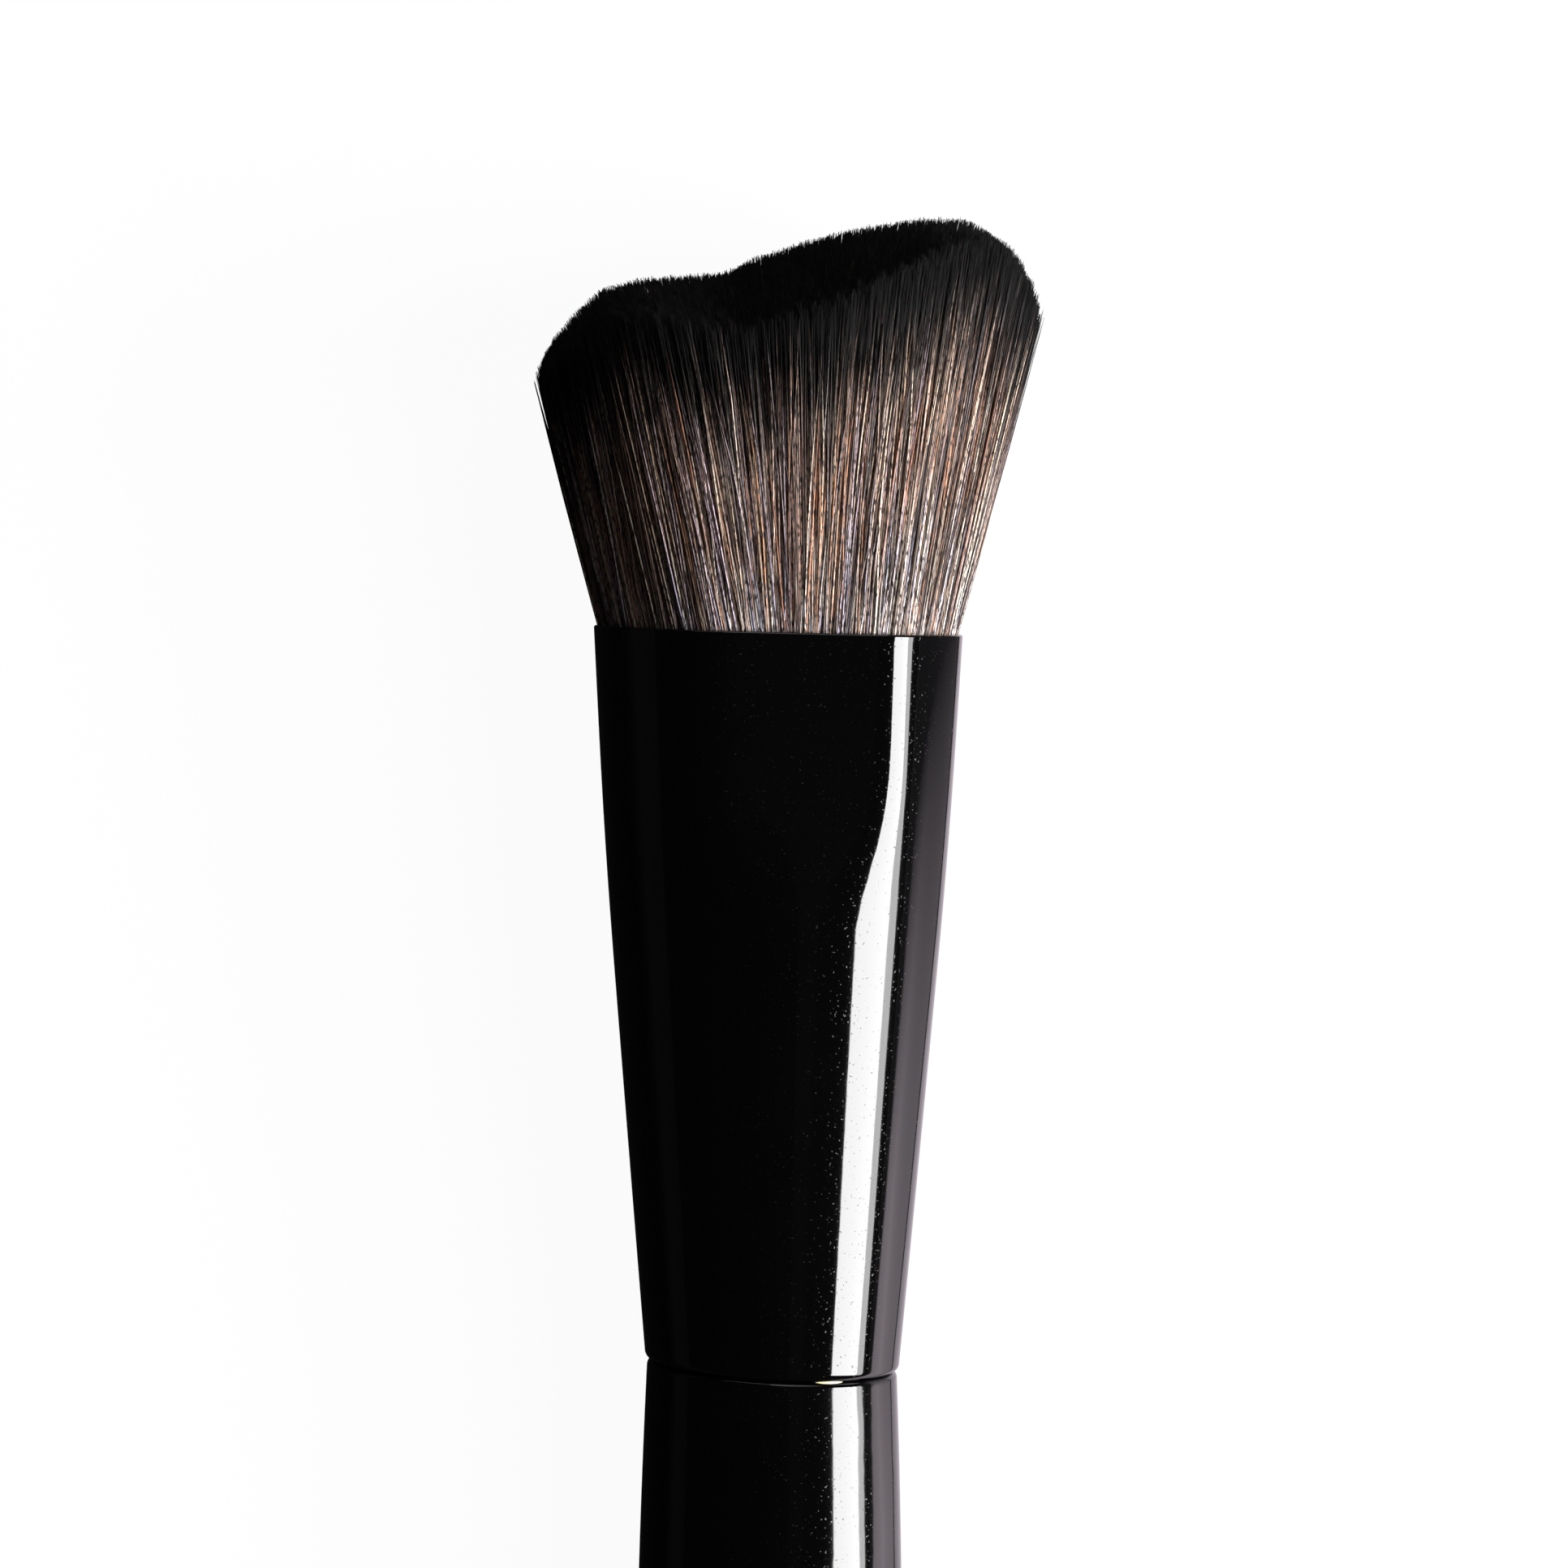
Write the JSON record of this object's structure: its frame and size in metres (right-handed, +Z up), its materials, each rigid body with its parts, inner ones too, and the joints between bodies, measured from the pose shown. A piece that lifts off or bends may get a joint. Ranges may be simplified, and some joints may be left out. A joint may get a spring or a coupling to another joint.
{
  "type": "shading brush",
  "caption": "Shading brush for make-up: dense mixed hair head, black gloss ferrule pressed flat on two sides, turned handle.",
  "frame": {"origin": "centre of the bounding box's bottom face, on the floor that the brush lies on", "axes": "+Y along the brush from handle to hair, +Z up out of its broad front face, +X across the head"},
  "size_m": [0.0292, 0.1728, 0.0244],
  "materials": {
    "handle_lacquer": "gloss",
    "ferrule_gloss": "gloss",
    "adhesive": "satin",
    "hair": "matte"
  },
  "bodies": {
    "root": {"handle": "handle_lacquer", "ferrule": "ferrule_gloss", "glue_plug": "adhesive", "hair_head": "hair"}
  },
  "joints": []
}
